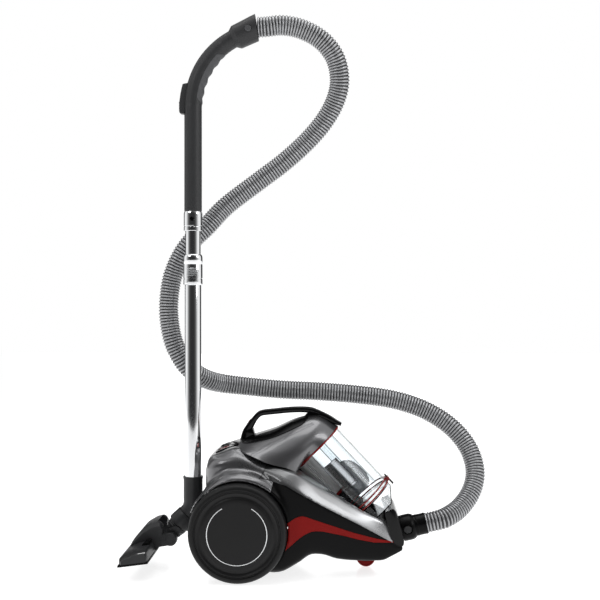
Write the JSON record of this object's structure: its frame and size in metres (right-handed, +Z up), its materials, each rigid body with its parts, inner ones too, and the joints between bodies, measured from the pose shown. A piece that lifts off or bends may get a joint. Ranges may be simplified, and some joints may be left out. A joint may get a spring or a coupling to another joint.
{
  "type": "canister vacuum cleaner",
  "caption": "Bagless canister vacuum cleaner with a lift-out clear dust cup, ribbed hose, telescopic wand and a parked floorhead.",
  "frame": {"origin": "on the floor under the middle of the machine's box, measured without the hose", "axes": "+X forward to the hose inlet, +Y to the machine's left, +Z up"},
  "size_m": [0.7321, 0.299, 1.1221],
  "materials": {
    "black_plastic": "fine satin, dark",
    "gloss_black": "gloss black",
    "dark_grey_plastic": "satin charcoal",
    "metallic_grey": "metallic grey lacquer on plastic",
    "silver_lacquer": "bright silver lacquer on plastic",
    "red_plastic": "gloss red",
    "clear_plastic": "clear polycarbonate",
    "grey_plastic": "light grey",
    "filter_pleats": "pleated paper and mesh",
    "foam": "open foam",
    "tyre_rubber": "satin rubber",
    "soft_grip": "soft-touch elastomer",
    "chrome_tube": "polished chromed steel",
    "brushed_collar": "brushed",
    "steel": "plain steel",
    "copper_winding": "enamelled winding",
    "hose_plastic": "silver-grey ribbed polymer",
    "bristle": "nylon bristle"
  },
  "bodies": {
    "canister": {"base_shell": "black_plastic", "upper_shell": "metallic_grey", "side_panels": "silver_lacquer", "accent_strips": "red_plastic", "inlet_bezel": "gloss_black", "inlet_duct": "black_plastic", "cup_cradle": "black_plastic", "rear_deck": "gloss_black", "motor_housing": "dark_grey_plastic", "motor_can": "steel", "premotor_filter": "foam", "reel_axle": "steel", "cord_outlet": "black_plastic", "exhaust_grille": "black_plastic", "power_switch": "dark_grey_plastic", "wheel_axles": "steel", "base_screws": "steel", "suction_hose": "hose_plastic"},
    "motor": {"motor_rotor": "copper_winding", "motor_fan": "steel"},
    "reel": {"cord_reel": "dark_grey_plastic"},
    "wheel_left": {"wheel_hub_left": "dark_grey_plastic", "wheel_tyre_left": "tyre_rubber", "hubcap_left": "dark_grey_plastic"},
    "wheel_right": {"wheel_hub_right": "dark_grey_plastic", "wheel_tyre_right": "tyre_rubber", "hubcap_right": "dark_grey_plastic"},
    "castor": {"castor_fork": "black_plastic"},
    "castor_roller": {"castor_wheel": "red_plastic"},
    "cup": {"cup_cowl": "metallic_grey", "top_cover": "gloss_black", "carry_handle": "gloss_black", "dust_bin": "clear_plastic", "top_ring": "red_plastic", "bottom_ring": "red_plastic", "cyclone_body": "grey_plastic", "pleated_filter": "filter_pleats"},
    "lid": {"bottom_lid": "clear_plastic"},
    "latch": {"lid_latch": "dark_grey_plastic"},
    "cup_release": {"cup_button": "red_plastic"},
    "power": {"power_pedal": "gloss_black"},
    "rewind": {"rewind_pedal": "red_plastic"},
    "coupling": {"hose_coupling": "black_plastic"},
    "coupling_release": {"coupling_button": "dark_grey_plastic"},
    "wand_lower": {"lower_tube": "chrome_tube", "neck_socket": "black_plastic"},
    "collar": {"lock_collar": "brushed_collar"},
    "wand_upper": {"upper_tube": "chrome_tube", "grip_handle": "dark_grey_plastic", "grip_insert": "soft_grip", "hose_cuff": "black_plastic"},
    "bleed": {"bleed_slider": "dark_grey_plastic"},
    "hose_release": {"hose_release_button": "dark_grey_plastic"},
    "sleeve_release": {"wand_button": "black_plastic"},
    "neck": {"neck_collar": "dark_grey_plastic"},
    "head": {"head_cover": "dark_grey_plastic", "head_sole": "black_plastic"},
    "mode": {"mode_pedal": "dark_grey_plastic"},
    "brushes": {"brush_strips": "bristle"},
    "rollers": {"head_rollers": "dark_grey_plastic"}
  },
  "joints": [
    {"name": "motor_spin", "type": "hinge", "parent": "canister", "child": "motor", "pos_m": [-0.064, -0.05, 0.106], "axis": [0, 1, 0], "continuous": true},
    {"name": "reel_spin", "type": "hinge", "parent": "canister", "child": "reel", "pos_m": [-0.062, 0.04, 0.106], "axis": [0, 1, 0], "continuous": true},
    {"name": "wheel_left_spin", "type": "hinge", "parent": "canister", "child": "wheel_left", "pos_m": [-0.072, 0.129, 0.095], "axis": [0, 1, 0], "continuous": true},
    {"name": "wheel_right_spin", "type": "hinge", "parent": "canister", "child": "wheel_right", "pos_m": [-0.072, -0.129, 0.095], "axis": [0, 1, 0], "continuous": true},
    {"name": "castor_swivel", "type": "hinge", "parent": "canister", "child": "castor", "pos_m": [0.185, 0, 0.05], "axis": [0, 0, 1], "continuous": true},
    {"name": "castor_roll", "type": "hinge", "parent": "castor", "child": "castor_roller", "pos_m": [0.177, 0, 0.019], "axis": [0, 1, 0], "continuous": true},
    {"name": "cup_lift", "type": "slide", "parent": "canister", "child": "cup", "axis": [0, 0, 1], "range_m": [0, 0.2]},
    {"name": "lid_open", "type": "hinge", "parent": "cup", "child": "lid", "pos_m": [0.1273, 0, 0.08516], "axis": [0, 1, 0], "range_deg": [0, 85]},
    {"name": "latch_press", "type": "hinge", "parent": "cup", "child": "latch", "pos_m": [0.22146, 0, 0.17976], "axis": [0, -1, 0], "range_deg": [0, 10], "stiffness_Nm_per_rad": 0.05},
    {"name": "cup_release_press", "type": "slide", "parent": "cup", "child": "cup_release", "axis": [1, 0, 0], "range_m": [0, 0.0035], "stiffness_N_per_m": 300},
    {"name": "power_press", "type": "slide", "parent": "canister", "child": "power", "axis": [0, 0, -1], "range_m": [0, 0.005], "stiffness_N_per_m": 400},
    {"name": "rewind_press", "type": "slide", "parent": "canister", "child": "rewind", "axis": [0, 0, -1], "range_m": [0, 0.005], "stiffness_N_per_m": 400},
    {"name": "coupling_swivel", "type": "hinge", "parent": "canister", "child": "coupling", "pos_m": [0.246, 0, 0.076], "axis": [0.9744, 0, 0.225], "continuous": true},
    {"name": "coupling_press", "type": "slide", "parent": "coupling", "child": "coupling_release", "axis": [0, 1, 0], "range_m": [0, 0.003], "stiffness_N_per_m": 300},
    {"name": "wand_lift", "type": "slide", "parent": "canister", "child": "wand_lower", "axis": [0, 0, 1], "range_m": [0, 0.08]},
    {"name": "collar_slide", "type": "slide", "parent": "wand_lower", "child": "collar", "axis": [0, 0, -1], "range_m": [0, 0.006], "stiffness_N_per_m": 400},
    {"name": "wand_extend", "type": "slide", "parent": "wand_lower", "child": "wand_upper", "axis": [0, 0, 1], "range_m": [0, 0.33]},
    {"name": "bleed_slide", "type": "slide", "parent": "wand_upper", "child": "bleed", "axis": [0, 0, 1], "range_m": [0, 0.012]},
    {"name": "hose_release_press", "type": "slide", "parent": "wand_upper", "child": "hose_release", "axis": [0, 1, 0], "range_m": [0, 0.003], "stiffness_N_per_m": 300},
    {"name": "sleeve_button_press", "type": "slide", "parent": "wand_upper", "child": "sleeve_release", "axis": [0, 1, 0], "range_m": [0, 0.0025], "stiffness_N_per_m": 300},
    {"name": "neck_swivel", "type": "hinge", "parent": "wand_lower", "child": "neck", "pos_m": [-0.176, 0, 0.117], "axis": [-0.6428, 0, -0.766], "range_deg": [-20, 20]},
    {"name": "head_tilt", "type": "hinge", "parent": "neck", "child": "head", "pos_m": [-0.216, 0, 0.06], "axis": [0, 1, 0], "range_deg": [-20, 35]},
    {"name": "mode_press", "type": "slide", "parent": "head", "child": "mode", "axis": [0.1305, 0, -0.9914], "range_m": [0, 0.005]},
    {"name": "brush_drop", "type": "slide", "parent": "head", "child": "brushes", "axis": [0.1305, 0, -0.9914], "range_m": [0, 0.005]},
    {"name": "roller_spin", "type": "hinge", "parent": "head", "child": "rollers", "pos_m": [-0.25344, 0, 0.03792], "axis": [0, 1, 0], "continuous": true}
  ],
  "couplings": [
    {"joint": "lid_open", "follows": "cup_lift", "rad_per_m": 7},
    {"joint": "brush_drop", "follows": "mode_press", "ratio": 1}
  ]
}
